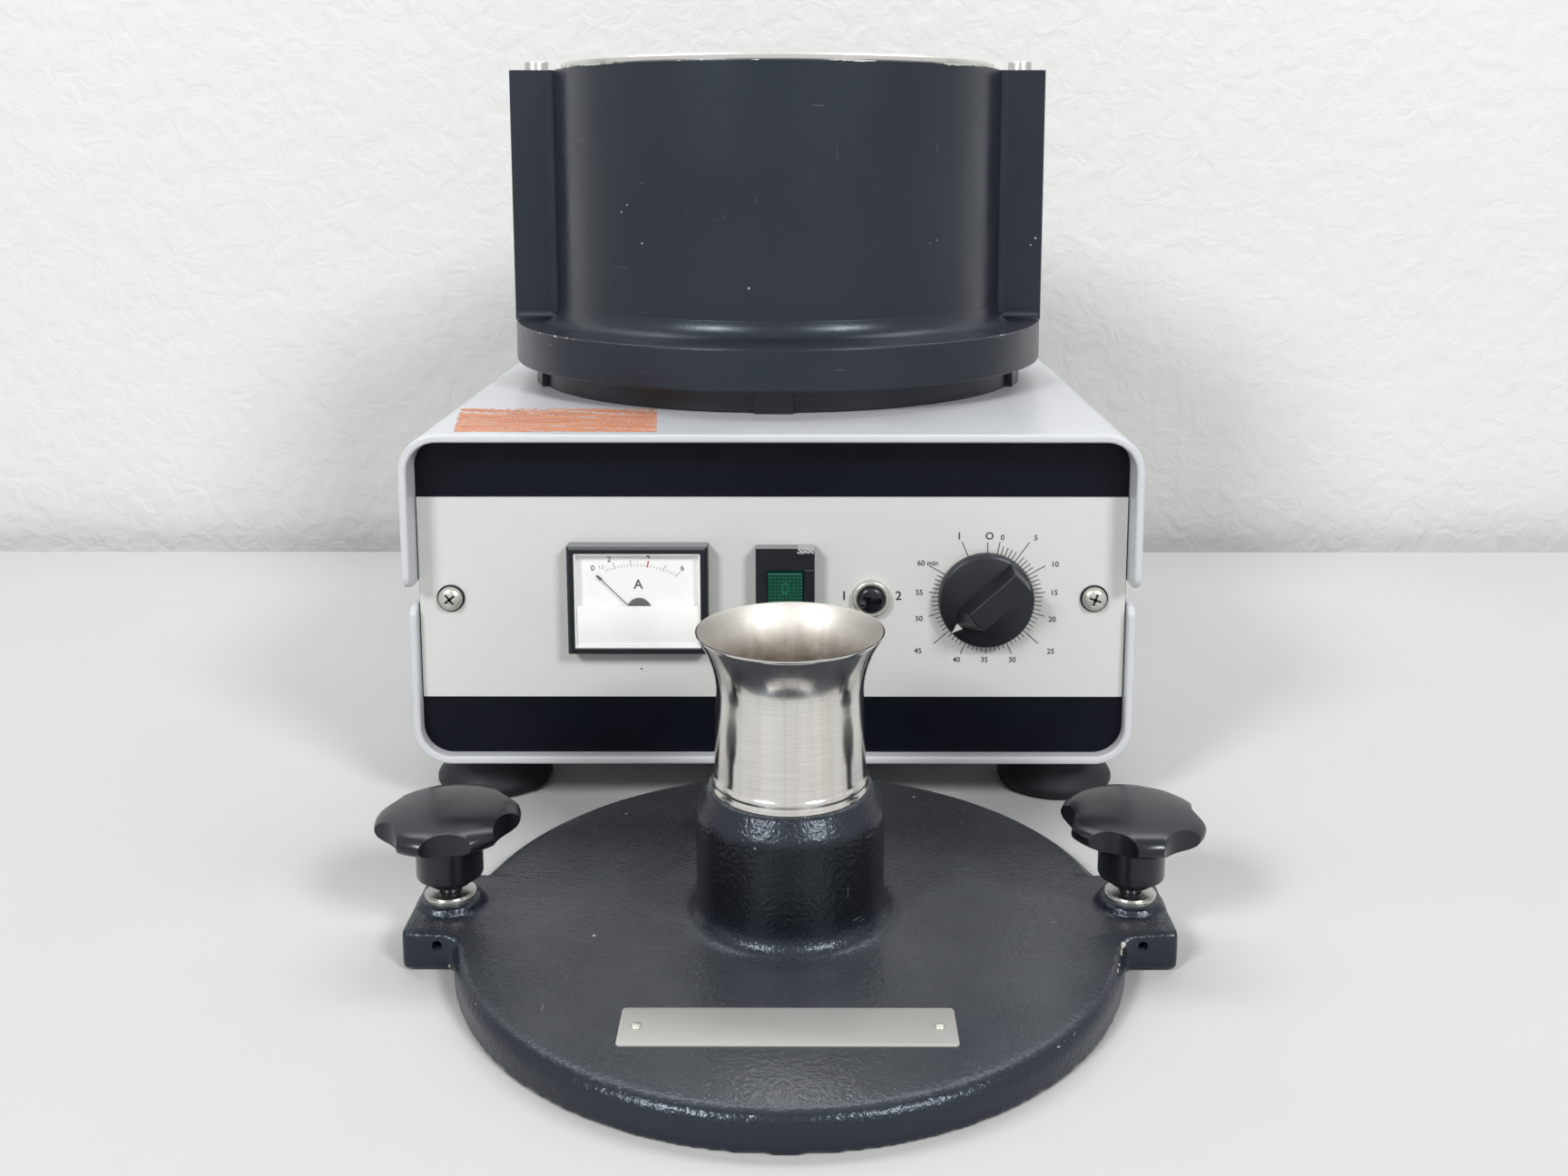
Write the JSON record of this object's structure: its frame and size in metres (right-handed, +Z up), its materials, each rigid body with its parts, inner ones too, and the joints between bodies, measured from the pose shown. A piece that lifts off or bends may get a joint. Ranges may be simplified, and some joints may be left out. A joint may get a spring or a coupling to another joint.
{
  "type": "laboratory mill",
  "caption": "Bench-top laboratory grinding mill: low cabinet with meter, switches and dial timer, drum chamber above, and its clamp lid with funnel and star knobs lying in front",
  "frame": {"origin": "middle of the whole footprint, on the bench", "axes": "+X right seen from the controls, +Y from the lid in front towards the rear plate, +Z up"},
  "size_m": [0.3573, 0.6434, 0.3765],
  "materials": {
    "cover_paint": "pale grey baked enamel, satin",
    "zinc_sheet": "zinc plated sheet",
    "black_plate": "black satin paint",
    "bright_panel": "fine matt anodised sheet",
    "foot_rubber": "moulded black rubber",
    "steel_screw": "plated steel",
    "black_trim": "black moulded plastic",
    "dark_casting": "dark blue grey gloss paint on a casting",
    "black_casting": "black paint on a casting",
    "bright_steel": "polished stainless steel",
    "bearing_steel": "ground steel",
    "seal_rubber": "black rubber",
    "motor_paint": "grey paint",
    "laminations": "varnished steel laminations",
    "carbon": "pressed carbon",
    "brass": "drawn brass",
    "fan_plastic": "moulded plastic",
    "dial_white": "white printed dial",
    "clear_pane": "clear pane",
    "needle_black": "black paint",
    "green_rocker": "green translucent plastic",
    "black_gloss": "black moulded phenolic",
    "board_green": "circuit board",
    "plate_aluminium": "bare matt aluminium"
  },
  "bodies": {
    "cabinet": {"hood": "cover_paint", "lower_cover": "cover_paint", "chassis": "zinc_sheet", "deck": "zinc_sheet", "front_plate": "black_plate", "front_panel": "bright_panel", "rear_plate": "black_plate", "feet": "foot_rubber", "foot_screws": "steel_screw", "panel_screws": "steel_screw", "screw_washers": "black_trim", "support_ring": "black_casting", "deck_bolts": "steel_screw", "chamber_housing": "dark_casting", "lid_studs": "bearing_steel", "lower_bearing": "bearing_steel", "upper_bearing": "bearing_steel", "shaft_seal": "seal_rubber", "motor_shell": "motor_paint", "motor_shield": "motor_paint", "stator": "laminations", "carbon_brushes": "carbon", "brush_holders": "brass", "meter_frame": "black_trim", "meter_dial": "dial_white", "meter_mask": "dial_white", "meter_glass": "clear_pane", "rocker_frame": "black_trim", "toggle_nut": "bright_steel", "toggle_body": "black_gloss", "timer_body": "black_trim", "cable_gland": "black_trim", "control_board": "board_green"},
    "mill_shaft": {"drive_shaft": "bearing_steel", "armature": "laminations", "cooling_fan": "fan_plastic"},
    "rotor": {"milling_rotor": "bright_steel"},
    "pan": {"collecting_pan": "bright_steel"},
    "sieve": {"ring_sieve": "bright_steel"},
    "lid": {"lid_casting": "dark_casting", "lid_seal": "seal_rubber", "label_plate": "plate_aluminium", "label_rivets": "steel_screw", "knob_washers": "steel_screw"},
    "feed_funnel": {"funnel": "bright_steel"},
    "clamp_left": {"clip_left": "steel_screw"},
    "clamp_right": {"clip_right": "steel_screw"},
    "knob_left": {"star_knob_left": "black_gloss"},
    "knob_right": {"star_knob_right": "black_gloss"},
    "timer": {"timer_knob": "black_gloss"},
    "switch_rocker": {"rocker": "green_rocker"},
    "switch_lever": {"toggle_lever": "black_gloss"},
    "needle": {"meter_needle": "needle_black"}
  },
  "joints": [
    {"name": "shaft_spin", "type": "hinge", "parent": "cabinet", "child": "mill_shaft", "pos_m": [-0.0015, 0.1231, 0.2], "axis": [0, 0, 1], "continuous": true},
    {"name": "rotor_pull", "type": "slide", "parent": "mill_shaft", "child": "rotor", "axis": [0, 0, 1], "range_m": [0, 0.06]},
    {"name": "pan_lift", "type": "slide", "parent": "cabinet", "child": "pan", "axis": [0, 0, 1], "range_m": [0, 0.15]},
    {"name": "sieve_lift", "type": "slide", "parent": "pan", "child": "sieve", "axis": [0, 0, 1], "range_m": [0, 0.05]},
    {"name": "lid_pull", "type": "slide", "parent": "cabinet", "child": "lid", "axis": [0, -1, 0], "range_m": [0, 0.2]},
    {"name": "funnel_lift", "type": "slide", "parent": "lid", "child": "feed_funnel", "axis": [0, 0, 1], "range_m": [0, 0.04]},
    {"name": "feed_left", "type": "slide", "parent": "lid", "child": "clamp_left", "axis": [0, 0, -1], "range_m": [0, 0.00375]},
    {"name": "feed_right", "type": "slide", "parent": "lid", "child": "clamp_right", "axis": [0, 0, -1], "range_m": [0, 0.00375]},
    {"name": "knob_turn_left", "type": "hinge", "parent": "clamp_left", "child": "knob_left", "pos_m": [-0.1325, -0.185, 0.05], "axis": [0, 0, -1], "range_deg": [0, 900]},
    {"name": "knob_turn_right", "type": "hinge", "parent": "clamp_right", "child": "knob_right", "pos_m": [0.1495, -0.185, 0.05], "axis": [0, 0, -1], "range_deg": [0, 900]},
    {"name": "timer_turn", "type": "hinge", "parent": "cabinet", "child": "timer", "pos_m": [0.1025, -0.0609, 0.10925], "axis": [0, 1, 0], "range_deg": [-252, 72]},
    {"name": "rocker_tip", "type": "hinge", "parent": "cabinet", "child": "switch_rocker", "pos_m": [0.0049, -0.0644, 0.11115], "axis": [1, 0, 0], "range_deg": [-14, 0]},
    {"name": "lever_tip", "type": "hinge", "parent": "cabinet", "child": "switch_lever", "pos_m": [0.0467, -0.0579, 0.10925], "axis": [0, 0, 1], "range_deg": [0, 40]},
    {"name": "needle_swing", "type": "hinge", "parent": "cabinet", "child": "needle", "pos_m": [-0.0665, -0.0609, 0.10685], "axis": [0, 1, 0], "range_deg": [0, 102], "stiffness_Nm_per_rad": 0.0002}
  ],
  "couplings": [
    {"joint": "knob_turn_left", "follows": "feed_left", "rad_per_m": 4188.8},
    {"joint": "knob_turn_right", "follows": "feed_right", "rad_per_m": 4188.8}
  ]
}
